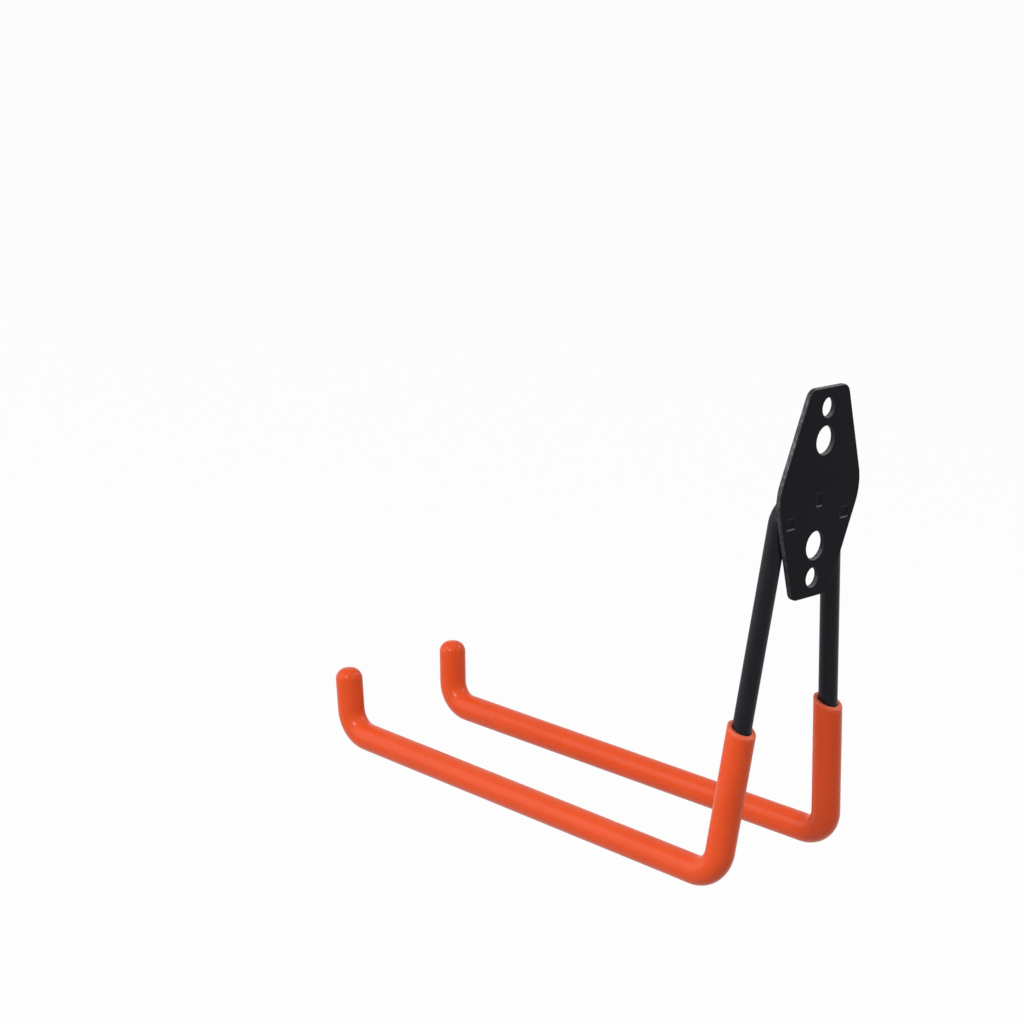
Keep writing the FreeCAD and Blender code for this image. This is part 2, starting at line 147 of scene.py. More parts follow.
class HookFinishes(bpy.types.PropertyGroup):
    """Colours and surface of the coat and of the sleeves."""
    coat: colour("Coat", (0.0066, 0.0072, 0.0112), "Black powder coat")
    coat_dust: colour("Coat dust", (0.060, 0.060, 0.062), "Pale specks in the coat")
    # Painted highlight: a paler grey on the plate's upward-facing edges and on the hollows' slopes
    edge_highlight_grey: colour("Edge highlight", (0.150, 0.158, 0.166), "Painted highlight on upward-facing edges")
    sheared_steel: colour("Sheared steel", (0.155, 0.157, 0.165), "Torn wall under a thin coat")
    coat_roughness: plain("Coat roughness", 0.38, "Satin of the powder coat")
    plate_gloss: plain("Plate gloss", 0.035, "Strength of the plate's reflections")
    bar_gloss: plain("Bar gloss", 0.145, "Strength of the bar's reflections")
    vinyl: colour("Vinyl", (0.74, 0.076, 0.0125), "Orange of the sleeves")
    vinyl_deep: colour("Deep vinyl", (0.65, 0.058, 0.0095), "Darker clouds in the orange")
    # Painted highlight: a paler orange round each sleeve's open end
    vinyl_rim_highlight: colour("Pale vinyl", (0.80, 0.150, 0.075), "Painted highlight round the open end")
    vinyl_roughness: plain("Vinyl roughness", 0.28, "Satin of the sleeves")
    vinyl_gloss: plain("Vinyl gloss", 0.19, "Strength of the sleeves' reflections")


class HookStudio(bpy.types.PropertyGroup):
    """Camera, floor and lights."""
    camera_x: length("Camera X", 0.836793, "Where the lens stands")
    camera_y: length("Camera Y", 0.587049, "Where the lens stands")
    camera_z: length("Camera Z", 0.254904, "Where the lens stands")
    focal_length: plain("Focal length", 93.357, "In millimetres on a 36 mm sensor")
    floor_height: length("Floor height", -0.32, "The hook hangs above it")
    floor_size: length("Floor size", 60.0, "Side of the floor")
    room_light: plain("Room light", 0.32, "Even light from all round")
    left_light: plain("Left light", 22.0, "Large soft lamp on the left of the picture")
    glint_light: plain("Glint light", 9.4, "Small lamp above the camera, on the left")
    streak_light: plain("Streak light", 0.8, "Small weak lamp, higher on the left")
    top_light: plain("Top light", 2.0, "Wide soft lamp overhead")
    side_light: plain("Side light", 3.8, "Small soft lamp, high on the right")
    fill_light: plain("Fill light", 3.4, "Wide weak lamp beside the camera, on the right")


# Steps along a line, in metres, and points round or along each form

LINE_STEP = 0.0012
BORE_STEP = 0.003
BAR_AROUND = 56
SLEEVE_AROUND = 64
HOLE_AROUND = 72
CORNER_POINTS = 28
PAD_CORNER_POINTS = 9
EDGE_POINTS = 7
DOME_POINTS = 14
LIP_POINTS = 8
SMALL_POINTS = 5


# Small forms, in metres

FACE_STRIP = 0.0004
HOLLOW_STRIP = 0.0007
PAD_STRIP = 0.0008
HOLLOW_LIP = 0.0002
PAD_LIP = 0.00025
MOUTH_ROUNDING = 0.00025
NO_RADIUS = 1e-6

# A sleeve's rings slide onto its slanted end, less and less over this length. The slide is
# divided by how far the line runs across the cut, unless that is under the least lean
SLANT_FADE = 0.03
LEAST_LEAN = 0.2

# Points on a straight wall, as shares of its height
WALL_POINTS = (0.25, 0.5, 0.75)
PAD_WALL_POINT = 0.6

# Points of a hollow's rounding, as offset and depth in shares of its lip
LIP_CURVE = ((-0.3, 0.12), (0.5, 0.6))

# Waves of a sleeve's wall: along it in radians a metre, lobes round it, and whether the two
# sleeves differ
RIPPLES = ((190.0, 2, True), (83.0, -1, False), (410.0, 3, False))

# Where a section's first point lies at the start of the bar and of a sleeve. Any direction
# off the line would do
BAR_SIDE = (1.0, 0.2, 0.1)
SLEEVE_SIDE = (0.0, -1.0, 0.0)


# Torn steel on the plate's walls, and painted light, shade and highlights on the plate and round
# the sleeves' open ends: shares from 0 to 1, heights and widths in metres, and one power for how
# sharply the painted highlight on a hollow's lower slope fades

WALL_FADE_ON_ROLL = (0.35, 0.9)
WALL_END_ON_FRONT = 0.3
# Painted shade: how much the wall's torn steel and top highlight fall off round the four end
# corners
SHADE_AT_CORNERS = 0.7
# Painted light and shade: the outline's wall share by height, paler higher up and darker lower
# down
WALL_LIGHT_HEIGHTS = (-0.003, 0.009)
WALL_LIGHT_BY_HEIGHT = (0.5, 1.0)
# Painted highlight: a paler band along the rolled top edge and round the low edge of each hole,
# where they face up
UPWARD_HIGHLIGHT = 0.8
UPWARD_HIGHLIGHT_WIDTH = 0.0012
BARE_IN_HOLE = 0.42
# Painted light: a hole's wall turns paler low down, where it faces up
LIGHTER_LOW_IN_HOLE = 0.27
HOLE_HIGHLIGHT_START = 0.4
HOLE_HIGHLIGHT_DEPTH = 0.8
# Painted highlight on the hollows' slopes: a little on each and most on the lower slope, which
# faces up
HIGHLIGHT_BY_RING = (0.0, 0.0, 0.5, 1.0, 1.0, 0.7, 0.2, 0.0)
HIGHLIGHT_ANYWHERE = 0.15
HIGHLIGHT_SHARPNESS = 6
HIGHLIGHT_SIDE_FADE = 0.0008
# Painted highlight round each sleeve's open end, fading out this far in
RIM_HIGHLIGHT_DEPTH = 0.0015


# Shares in the two materials

CLOUD_SCALE = 60.0
DEEP_COAT = 0.72
SPECK_SHARE = 0.20
TEAR_STRETCH = (1.0, 0.35, 1.0)
LEAST_BARE = 0.35
BARE_METAL = 0.7
TORN_ROUGHNESS = 0.10
DEEP_VINYL_SHARE = 0.35
RIM_HIGHLIGHT_SHARE = 0.8
PLAIN_IOR = 1.5

# The colours' sockets on a mix node, and its result
MIX_FIRST = 6
MIX_SECOND = 7
MIX_RESULT = 2


# The stage: each lamp's place and side, the place they look at, and the camera's axes

LAMPS = {
    "left_light": ((1.54, -1.56, 0.51), 2.2),
    "glint_light": ((1.15, 0.04, 0.74), 0.24),
    "streak_light": ((0.87, -0.76, 0.69), 0.22),
    "top_light": ((0.10, 0.15, 1.35), 1.2),
    "side_light": ((-0.89, 0.40, 0.86), 0.28),
    "fill_light": ((0.15, 1.42, 0.86), 1.2),
}
LIT_PLACE = (0.0, -0.11, -0.08)
WHITE = (1.0, 1.0, 1.0, 1.0)
FLOOR_GREY = (0.55, 0.55, 0.55, 1.0)
FLOOR_WHITE_SHARE = 0.97
CAMERA_RIGHT = (-0.6786779, 0.7314362, 0.0663130)
CAMERA_BACK = (0.7197522, 0.6444273, 0.2582058)
SENSOR_WIDTH = 36.0
NEAREST = 0.01
FARTHEST = 200.0


def settings(context):
    """The sizes of the plate, the bar and the sleeves."""
    scene = context.scene
    return scene.hook_plate, scene.hook_bar, scene.hook_sleeve


# Curves and surfaces as whole arrays


def unit(vector):
    return vector / np.linalg.norm(vector)


def turned(vector, axis, angles):
    """The vector turned about a unit axis by each angle: v cos t, plus (axis x v) sin t,
    plus the axis times (axis . v)(1 - cos t)."""
    t = np.asarray(angles)[:, None]
    along = axis * (axis @ vector)
    return vector * np.cos(t) + np.cross(axis, vector) * np.sin(t) + along * (1 - np.cos(t))


class CentreLine:
    """Straight runs between corners, with an arc of a given radius at each inner corner.

    A run of length l is start + d s. An arc about its centre is centre + the first spoke
    turned by s / radius about the bend's axis. Two directions square to the line are
    carried along: they stay as they are on a run and turn with each bend, so a section
    never twists."""

    def __init__(self, corners, radii, side):
        corners = [np.asarray(corner, float) for corner in corners]
        way = [unit(b - a) for a, b in zip(corners, corners[1:])]
        first = unit(side - way[0] * (way[0] @ np.asarray(side)))
        self.parts = []
        start, distance = corners[0], 0.0
        for place, radius in enumerate(radii, start=1):
            into, out = way[place - 1], way[place]
            turn = math.acos(max(-1.0, min(1.0, float(into @ out))))
            setback = radius * math.tan(turn / 2)
            arc_start = corners[place] - into * setback
            run = float(np.linalg.norm(arc_start - start))
            self.parts.append(("run", distance, run, start, into, first, None))
            distance += run
            axis = unit(np.cross(into, out))
            centre = arc_start + np.cross(axis, into) * radius
            sweep = radius * turn
            self.parts.append(("arc", distance, sweep, centre, into, first, (axis, radius)))
            distance += sweep
            first = turned(first, axis, [turn])[0]
            start = corners[place] + out * setback
        run = float(np.linalg.norm(corners[-1] - start))
        self.parts.append(("run", distance, run, start, way[-1], first, None))
        self.length = distance + run

    def at(self, distances):
        """Points of the line, its direction and the two directions square to it."""
        distances = np.asarray(distances, float)
        point, ahead, first = (np.zeros((len(distances), 3)) for _ in range(3))
        starts = np.array([part[1] for part in self.parts])
        owner = np.clip(np.searchsorted(starts, distances, side="right") - 1, 0, None)
        for place, (kind, begin, _, origin, way, side, bend) in enumerate(self.parts):
            mine = owner == place
            past = distances[mine] - begin
            if kind == "run":
                point[mine] = origin + way * past[:, None]
                ahead[mine], first[mine] = way, side
            else:
                axis, radius = bend
                spoke = -np.cross(axis, way) * radius
                point[mine] = origin + turned(spoke, axis, past / radius)
                ahead[mine] = turned(way, axis, past / radius)
                first[mine] = turned(side, axis, past / radius)
        return point, ahead, first, np.cross(ahead, first)


def evenly_spaced(begin, end, step):
    """Distances from one place on a line to another, about a step apart."""
    return np.linspace(begin, end, max(2, int(abs(end - begin) / step) + 1))


def swept_grid(line, distances, radii, around, shift=None, swell=None):
    """Rings about the line: P(s) + r (cos a U + sin a V), for each pair of distance and
    radius. shift moves each point along the line by its own amount, for a slanted end.
    swell adds its own amount to each radius."""
    point, ahead, first, second = line.at(distances)
    angle = np.linspace(0.0, 2 * math.pi, around, endpoint=False)
    radius = np.repeat(np.asarray(radii, float)[:, None], around, axis=1)
    if swell is not None:
        swelling = swell(np.asarray(distances)[:, None], angle[None, :])
        radius = radius + swelling * (radius > NO_RADIUS)
    spoke = (first[:, None, :] * np.cos(angle)[None, :, None]
             + second[:, None, :] * np.sin(angle)[None, :, None]) * radius[:, :, None]
    grid = point[:, None, :] + spoke
    if shift is not None:
        grid = grid + ahead[:, None, :] * shift(np.asarray(distances), spoke, ahead)[:, :, None]
    return grid


def grid_faces(rows, columns):
    """Corner numbers of the quads of a grid that is joined round its columns."""
    row = np.arange(rows - 1)[:, None]
    column = np.arange(columns)[None, :]
    after = (column + 1) % columns
    quads = [row * columns + column, row * columns + after,
             (row + 1) * columns + after, (row + 1) * columns + column]
    return np.stack([quad.ravel() for quad in np.broadcast_arrays(*quads)], axis=1)


def enclosed_volume(points, faces):
    """Six times the volume: the sum of a . (b x c) over the faces' triangles."""
    total = 0.0
    for corner in range(1, faces.shape[1] - 1):
        a, b, c = points[faces[:, 0]], points[faces[:, corner]], points[faces[:, corner + 1]]
        total += float(np.einsum("ij,ij->", a, np.cross(b, c)))
    return total


def place_object(name, data):
    """A new object in the scene, at the origin."""
    made = bpy.data.objects.new(name, data)
    bpy.context.scene.collection.objects.link(made)
    return made


def new_piece(name, points, blocks, material, smooth=None):
    """An object at the origin from points and blocks of faces, with its faces outwards."""
    volume = sum(enclosed_volume(points, faces) for faces in blocks)
    if volume < 0:
        blocks = [faces[:, ::-1] for faces in blocks]
    mesh = bpy.data.meshes.new(name)
    corners = [face for faces in blocks for face in faces.tolist()]
    mesh.from_pydata(points.tolist(), [], corners)
    flags = smooth if smooth is not None else [True] * len(blocks)
    shading = np.concatenate([np.full(len(faces), flag) for faces, flag in zip(blocks, flags)])
    mesh.polygons.foreach_set("use_smooth", shading)
    mesh.materials.append(material)
    mesh.update()
    if mesh.validate():
        raise RuntimeError(name + " has broken faces")
    return place_object(name, mesh)


def set_attribute(piece, name, values):
    """Gives each of the piece's points a value that its material can read."""
    attribute = piece.data.attributes.new(name, "FLOAT", "POINT")
    attribute.data.foreach_set("value", np.asarray(values, np.float32).ravel())


def capped(grid):
    """The grid's points with one point for each end ring of no radius, and its faces."""
    rows, around, _ = grid.shape
    inner = grid[1:-1].reshape(-1, 3)
    points = np.concatenate([inner, grid[0].mean(0)[None], grid[-1].mean(0)[None]])
    quads = grid_faces(rows - 2, around)
    first_pole, last_pole = len(inner), len(inner) + 1
    column = np.arange(around)
    after = (column + 1) % around
    base = (rows - 3) * around
    top = np.stack([after, column, np.full(around, first_pole)], axis=1)
    bottom = np.stack([base + column, base + after, np.full(around, last_pole)], axis=1)
    return points, [quads, top, bottom]


def quarter(count):
    """Angles from nothing to a right angle."""
    return np.linspace(0.0, math.pi / 2, count)


# Shader nodes and materials


def group_with(name, inputs, outputs):
    """A new shader node group with float inputs, float outputs and its own end nodes."""
    group = bpy.data.node_groups.new(name, "ShaderNodeTree")
    group.interface.new_socket("Vector", in_out="INPUT", socket_type="NodeSocketVector")
    for label, value in inputs:
        socket = group.interface.new_socket(label, in_out="INPUT", socket_type="NodeSocketFloat")
        socket.default_value = value
    for label in outputs:
        group.interface.new_socket(label, in_out="OUTPUT", socket_type="NodeSocketFloat")
    start = group.nodes.new("NodeGroupInput")
    end = group.nodes.new("NodeGroupOutput")
    return group, start, end


def feed(tree, socket, value):
    """Links a socket to the input. Any other value is set on it."""
    if isinstance(value, bpy.types.NodeSocket):
        tree.links.new(value, socket)
    else:
        socket.default_value = value


def add_node(tree, kind, inputs=None, **values):
    """A node of that kind with the given inputs and properties."""
    node = tree.nodes.new(kind)
    for name, value in values.items():
        setattr(node, name, value)
    for name, value in (inputs or {}).items():
        feed(tree, node.inputs[name], value)
    return node


def maths(tree, operation, *values):
    """A maths node on numbers and sockets."""
    node = add_node(tree, "ShaderNodeMath", operation=operation)
    for socket, value in zip(node.inputs, values):
        feed(tree, socket, value)
    return node.outputs[0]


def noise(tree, vector, scale, detail=2.0, roughness=0.5):
    """Noise at so many waves a metre."""
    node = add_node(tree, "ShaderNodeTexNoise", {
        "Vector": vector, "Scale": scale, "Detail": detail, "Roughness": roughness})
    return node.outputs["Fac"]


def ramp(tree, value, low, high):
    """0 below low and 1 above high, straight between them."""
    node = add_node(tree, "ShaderNodeMapRange", {
        "Value": value, "From Min": low, "From Max": high})
    return node.outputs["Result"]


def skin_grain():
    """Fine grain and broad orange peel: two noises, put together as a height, and the same
    peel as a slow cloud for colour and roughness."""
    group, start, end = group_with(
        "Skin Grain",
        [("Grain Scale", 4000.0), ("Peel Scale", 900.0), ("Peel Share", 0.6)],
        ["Height", "Cloud", "Grain"])
    where = start.outputs["Vector"]
    grain = noise(group, where, start.outputs["Grain Scale"], roughness=0.6)
    peel = noise(group, where, start.outputs["Peel Scale"])
    cloud = noise(group, where, CLOUD_SCALE, detail=3.0, roughness=0.55)
    share = start.outputs["Peel Share"]
    broad = maths(group, "MULTIPLY", peel, share)
    fine = maths(group, "MULTIPLY", grain, maths(group, "SUBTRACT", 1.0, share))
    group.links.new(maths(group, "ADD", broad, fine), end.inputs["Height"])
    group.links.new(cloud, end.inputs["Cloud"])
    group.links.new(grain, end.inputs["Grain"])
    return group


def cleared_tree(owner, kind="ShaderNodeOutputMaterial"):
    """The nodes of a material or world, with nothing there but a new output."""
    owner.use_nodes = True
    tree = owner.node_tree
    tree.nodes.clear()
    return tree, tree.nodes.new(kind)


def new_material(name):
    """A material, its nodes, its shader and the point in the object's own measures."""
    material = bpy.data.materials.new(name)
    tree, output = cleared_tree(material)
    shader = tree.nodes.new("ShaderNodeBsdfPrincipled")
    tree.links.new(shader.outputs["BSDF"], output.inputs["Surface"])
    where = tree.nodes.new("ShaderNodeTexCoord").outputs["Object"]
    return material, tree, shader, where


def mix_colour(tree, share, first, second):
    """first where the share is 0 and second where it is 1."""
    node = add_node(tree, "ShaderNodeMix", {"Factor": share}, data_type="RGBA")
    for place, value in ((MIX_FIRST, first), (MIX_SECOND, second)):
        if not isinstance(value, bpy.types.NodeSocket):
            value = (*value, 1.0)
        feed(tree, node.inputs[place], value)
    return node.outputs[MIX_RESULT]


def attribute_of(tree, name):
    return add_node(tree, "ShaderNodeAttribute", attribute_name=name).outputs["Fac"]


def bump(tree, height, distance, strength, normal=None):
    """A normal bent by the height, on top of another normal if there is one."""
    inputs = {"Strength": strength, "Distance": distance, "Height": height}
    if normal is not None:
        inputs["Normal"] = normal
    return add_node(tree, "ShaderNodeBump", inputs).outputs["Normal"]


def grain_node(tree, where, grain_scale, peel_scale, peel_share):
    """The shared grain at its own scales."""
    group = bpy.data.node_groups.get("Skin Grain") or skin_grain()
    return add_node(tree, "ShaderNodeGroup", {
        "Vector": where, "Grain Scale": grain_scale,
        "Peel Scale": peel_scale, "Peel Share": peel_share}, node_tree=group)


def uneven(tree, cloud, middle, spread):
    """A roughness that the cloud moves up and down about its middle."""
    return maths(tree, "ADD", maths(tree, "MULTIPLY", cloud, spread), middle - spread / 2)


def set_surface(tree, shader, base, rough, normal, gloss):
    """Puts the colour, roughness, normal and strength of reflections on the shader."""
    surface = {"Base Color": base, "Roughness": rough, "Normal": normal,
               "IOR": PLAIN_IOR, "Specular IOR Level": gloss}
    for name, value in surface.items():
        feed(tree, shader.inputs[name], value)


def torn_steel(tree, where, wall):
    """Streaks drawn out through the sheet's thickness, and how much torn steel the wall shows,
    times the wall's share, which also holds painted light and shade: fully where streaks and
    patches meet, and by its least share elsewhere."""
    squeeze = add_node(tree, "ShaderNodeMapping", {"Vector": where, "Scale": TEAR_STRETCH})
    streaks = noise(tree, squeeze.outputs["Vector"], scale=2300.0, detail=3.0, roughness=0.65)
    torn = ramp(tree, streaks, low=0.38, high=0.66)
    patches = ramp(tree, noise(tree, where, scale=420.0, detail=1.0), low=0.42, high=0.60)
    met = maths(tree, "MULTIPLY", torn, patches)
    bare_and_lit = maths(tree, "MULTIPLY_ADD", met, 1.0 - LEAST_BARE, LEAST_BARE)
    return streaks, maths(tree, "MULTIPLY", wall, bare_and_lit)


def coat_material(name, finish, gloss, sheared):
    """Black powder coat: peel and grain as bump, pale specks where the grain peaks, and on
    the plate a torn, streaky wall where the stamp sheared the sheet."""
    material, tree, shader, where = new_material(name)
    grain = grain_node(tree, where, grain_scale=5200.0, peel_scale=1300.0, peel_share=0.55)
    cloud = grain.outputs["Cloud"]
    specks = ramp(tree, grain.outputs["Grain"], low=0.66, high=0.78)
    clouds = ramp(tree, cloud, low=0.35, high=0.70)
    deep = tuple(value * DEEP_COAT for value in finish.coat)
    ground = mix_colour(tree, clouds, deep, finish.coat)
    specks = maths(tree, "MULTIPLY", specks, SPECK_SHARE)
    coated = mix_colour(tree, specks, ground, finish.coat_dust)
    normal = bump(tree, grain.outputs["Height"], distance=0.00006, strength=0.55)
    rough = uneven(tree, cloud, middle=finish.coat_roughness, spread=0.10)
    if sheared:
        # The sheared wall's share holds painted light and shade as well as torn steel
        wall = attribute_of(tree, "sheared_wall")
        streaks, bare_and_lit = torn_steel(tree, where, wall)
        coated = mix_colour(tree, bare_and_lit, coated, finish.sheared_steel)
        feed(tree, shader.inputs["Metallic"], maths(tree, "MULTIPLY", bare_and_lit, BARE_METAL))
        rough = maths(tree, "ADD", rough, maths(tree, "MULTIPLY", wall, TORN_ROUGHNESS))
        height = maths(tree, "MULTIPLY", wall, streaks)
        normal = bump(tree, height, distance=0.00018, strength=0.7, normal=normal)
        # Painted highlight: the coat turns a paler grey on upward-facing edges and on the hollows'
        # slopes
        pressed = attribute_of(tree, "pressed_edge")
        coated = mix_colour(tree, pressed, coated, finish.edge_highlight_grey)
    set_surface(tree, shader, coated, rough, normal, gloss)
    return material


def vinyl_material(name, finish):
    """Soft orange vinyl: slow darker clouds, a painted highlight round the open end and fine peel
    and grain as bump."""
    material, tree, shader, where = new_material(name)
    grain = grain_node(tree, where, grain_scale=3800.0, peel_scale=420.0, peel_share=0.7)
    cloud = grain.outputs["Cloud"]
    clouds = maths(tree, "MULTIPLY", ramp(tree, cloud, low=0.40, high=0.75), DEEP_VINYL_SHARE)
    ground = mix_colour(tree, clouds, finish.vinyl, finish.vinyl_deep)
    # Painted highlight: the orange turns paler round the open end
    rim = maths(tree, "MULTIPLY", attribute_of(tree, "open_rim"), RIM_HIGHLIGHT_SHARE)
    coloured = mix_colour(tree, rim, ground, finish.vinyl_rim_highlight)
    rough = uneven(tree, cloud, middle=finish.vinyl_roughness, spread=0.12)
    normal = bump(tree, grain.outputs["Height"], distance=0.00005, strength=0.1)
    set_surface(tree, shader, coloured, rough, normal, finish.vinyl_gloss)
    return material


def shared_material(name, make, *values):
    """The material of that name, made once."""
    return bpy.data.materials.get(name) or make(name, *values)


def finish_piece(piece, slot, *nodes):
    """The piece moves with the hook and stands for its nodes. Its slot is not used."""
    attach(piece, BODY)
    if nodes:
        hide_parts(*nodes)


# The bar's centre line


def bar_depth(plate, bar):
    """Y of the bar's axis on the plate and down both legs."""
    return -(plate.thickness + bar.gap + bar.diameter / 2)


def arm_corners(plate, bar, sign):
    """Sharp corners of one side, from the shoulder to the sleeve's end."""
    depth = bar_depth(plate, bar)
    shoulder = np.array([sign * bar.shoulder_span / 2, depth, bar.shoulder_height])
    root = np.array([sign * bar.arm_root_span / 2, depth, -bar.arm_drop])
    tip = np.array([sign * bar.arm_tip_span / 2, depth - bar.arm_reach, root[2] - bar.arm_sag])
    end = tip + np.array([sign * bar.tip_flare, -bar.tip_lean, bar.tip_height])
    return shoulder, root, tip, end


def bar_line(plate, bar, sleeve):
    """The whole centre line from one cut end to the other."""
    sides = []
    for sign in SIDES.values():
        shoulder, root, tip, end = arm_corners(plate, bar, sign)
        cut = end - unit(end - tip) * sleeve.end_wall
        sides.append([shoulder, root, tip, cut])
    apex = np.array([0.0, bar_depth(plate, bar), bar.apex_height])
    corners = [*sides[0][::-1], apex, *sides[1]]
    bends = [bar.tip_bend, bar.arm_bend, bar.shoulder_bend]
    return CentreLine(corners, [*bends, bar.apex_bend, *bends[::-1]], BAR_SIDE)


# The plate's outlines


def rounded_outline(corners, radii, offset, steps):
    """A convex polygon with round corners, shrunk by the offset: each corner's arc keeps its
    centre and loses the offset from its radius. Corners run anticlockwise."""
    corners = np.asarray(corners, float)
    before = corners - np.roll(corners, 1, axis=0)
    before /= np.linalg.norm(before, axis=1)[:, None]
    after = np.roll(before, -1, axis=0)
    out_before = np.stack([before[:, 1], -before[:, 0]], axis=1)
    out_after = np.stack([after[:, 1], -after[:, 0]], axis=1)
    bisector = out_before + out_after
    bisector /= np.linalg.norm(bisector, axis=1)[:, None]
    half_cosine = np.einsum("ij,ij->i", bisector, out_before)
    radii = np.asarray(radii, float)
    centres = corners - bisector * (radii / half_cosine)[:, None]
    begin = np.arctan2(out_before[:, 1], out_before[:, 0])
    turn = np.arctan2(out_after[:, 1], out_after[:, 0]) - begin
    turn = np.mod(turn, 2 * math.pi)
    angle = begin[:, None] + turn[:, None] * np.linspace(0.0, 1.0, steps)[None, :]
    reach = (radii - offset)[:, None, None]
    arcs = centres[:, None, :] + reach * np.stack([np.cos(angle), np.sin(angle)], axis=2)
    return arcs.reshape(-1, 2)


def circle_outline(centre, radius, steps):
    """Points of a circle, anticlockwise."""
    angle = np.linspace(0.0, 2 * math.pi, steps, endpoint=False)
    return np.asarray(centre) + radius * np.stack([np.cos(angle), np.sin(angle)], axis=1)


def edge_profile(plate):
    """From the wall face round a stamped edge to the front face: pairs of offset from the
    outline and depth y. A flat strip joins it to each face."""
    angle = quarter(EDGE_POINTS)
    roll, radius, thickness = plate.roll_over, plate.edge_radius, plate.thickness
    near = np.stack([roll - roll * np.sin(angle), -roll + roll * np.cos(angle)], axis=1)
    far = np.stack([radius - radius * np.cos(angle),
                    -thickness + radius - radius * np.sin(angle)], axis=1)
    first = [[roll + FACE_STRIP, 0.0]]
    last = [[radius + FACE_STRIP, -thickness]]
    straight = thickness - roll - radius
    middle = [[0.0, -roll - straight * share] for share in WALL_POINTS]
    return np.concatenate([first, near, middle, far, last])


class PlateShape:
    """Collects rings and fills into one closed mesh of the plate."""

    def __init__(self):
        self.points = np.zeros((0, 3))
        self.rounded = []
        self.flat = []
        self.wall = np.zeros(0)
        # The pressed share of each point is painted highlight
        self.pressed = np.zeros(0)

    def add_points(self, points, wall, pressed):
        """Adds points with their two shares and gives the number of the first."""
        start = len(self.points)
        self.points = np.concatenate([self.points, points])
        self.wall = np.concatenate([self.wall, wall])
        self.pressed = np.concatenate([self.pressed, pressed])
        return start

    def add_band(self, rings, wall=0.0, pressed=0.0):
        """A grid of rings, one for each row, with how far each point lies on a sheared wall, a
        share that also holds painted light and shade, and how much painted highlight it has. Gives
        the corner numbers of the two end rings."""
        rows, around, _ = rings.shape
        shares = [np.broadcast_to(share, (rows, around)).ravel() for share in (wall, pressed)]
        start = self.add_points(rings.reshape(-1, 3), *shares)
        self.rounded.append(grid_faces(rows, around) + start)
        return start + np.arange(around), start + (rows - 1) * around + np.arange(around)

    def add_fill(self, loops, up):
        """Flat triangles between an outer loop and its holes, all facing up or down Y."""
        order = np.concatenate(loops)
        flat = [[Vector((*self.points[corner][[0, 2]], 0.0)) for corner in loop] for loop in loops]
        faces = order[np.array(tessellate_polygon(flat))]
        a, b, c = (self.points[faces[:, corner]] for corner in range(3))
        facing = np.cross(b - a, c - a)[:, 1]
        wrong = facing < 0 if up else facing > 0
        faces[wrong] = faces[wrong][:, ::-1]
        self.flat.append(faces)


def lifted(outline, depth):
    """Points of an outline in the plate's plane, as X and Z, at a depth y."""
    return np.stack([outline[:, 0], np.full(len(outline), depth), outline[:, 1]], axis=1)


def build_plate(plate, bar):
    """The plate as bands, each an outline carried along a profile, and flat fills."""
    shape = PlateShape()
    profile = edge_profile(plate)
    loops = [add_outline(shape, plate, profile)]
    for diameter, spacing in ((plate.screw_hole, plate.screw_spacing),
                              (plate.bolt_hole, plate.bolt_spacing)):
        for height in (spacing / 2, -spacing / 2):
            loops.append(add_hole(shape, plate, profile, diameter / 2, height))
    for pad in pad_places(plate, bar):
        loops.append((add_hollow(shape, plate, *pad), add_pad(shape, plate, *pad)))
    wall_loops, front_loops = zip(*loops)
    shape.add_fill(wall_loops, up=True)
    shape.add_fill(front_loops, up=False)
    return shape


def wall_share(plate, profile):
    """How much each ring of a profile lies on the sheared wall, as a column."""
    offset, depth = profile.T
    fade = [plate.roll_over * share for share in WALL_FADE_ON_ROLL]
    share = np.interp(offset, fade, [1.0, 0.0])
    share[-depth > plate.thickness - plate.edge_radius * WALL_END_ON_FRONT] = 0.0
    return share[:, None]


def add_outline(shape, plate, profile):
    """The plate's outer edge. Painted shade darkens its wall round its four end corners and below
    the waist, and a painted highlight runs along the rolled edge at the top."""
    half_end, half_waist = plate.end_width / 2, plate.waist_width / 2
    top = plate.height / 2
    corners = [(half_end, top), (-half_end, top), (-half_waist, 0.0),
               (-half_end, -top), (half_end, -top), (half_waist, 0.0)]
    is_end = [abs(up) > 0 for _, up in corners]
    radii = [plate.corner_radius if end else plate.waist_radius for end in is_end]
    rings = np.stack([lifted(rounded_outline(corners, radii, inward, CORNER_POINTS), y)
                      for inward, y in profile])
    height = rings[:, :, 2]
    # Painted shade: less torn steel and less top highlight round the four end corners
    arch = np.sin(math.pi * np.linspace(0.0, 1.0, CORNER_POINTS))
    thin = np.concatenate([1.0 - SHADE_AT_CORNERS * arch * end for end in is_end])
    # Painted highlight along the rolled edge at the top
    upward_highlight = UPWARD_HIGHLIGHT * np.clip(1.0 - (top - height) / UPWARD_HIGHLIGHT_WIDTH, 0.0, 1.0) * thin
    offset, depth = profile.T
    upward_highlight[(offset == 0.0) | (depth == 0.0) | (-depth > plate.thickness / 2)] = 0.0
    # Painted light and shade: the wall is paler higher up and darker lower down
    bare_and_lit = thin * np.interp(height, WALL_LIGHT_HEIGHTS, WALL_LIGHT_BY_HEIGHT)
    return shape.add_band(rings, wall_share(plate, profile) * bare_and_lit, upward_highlight)


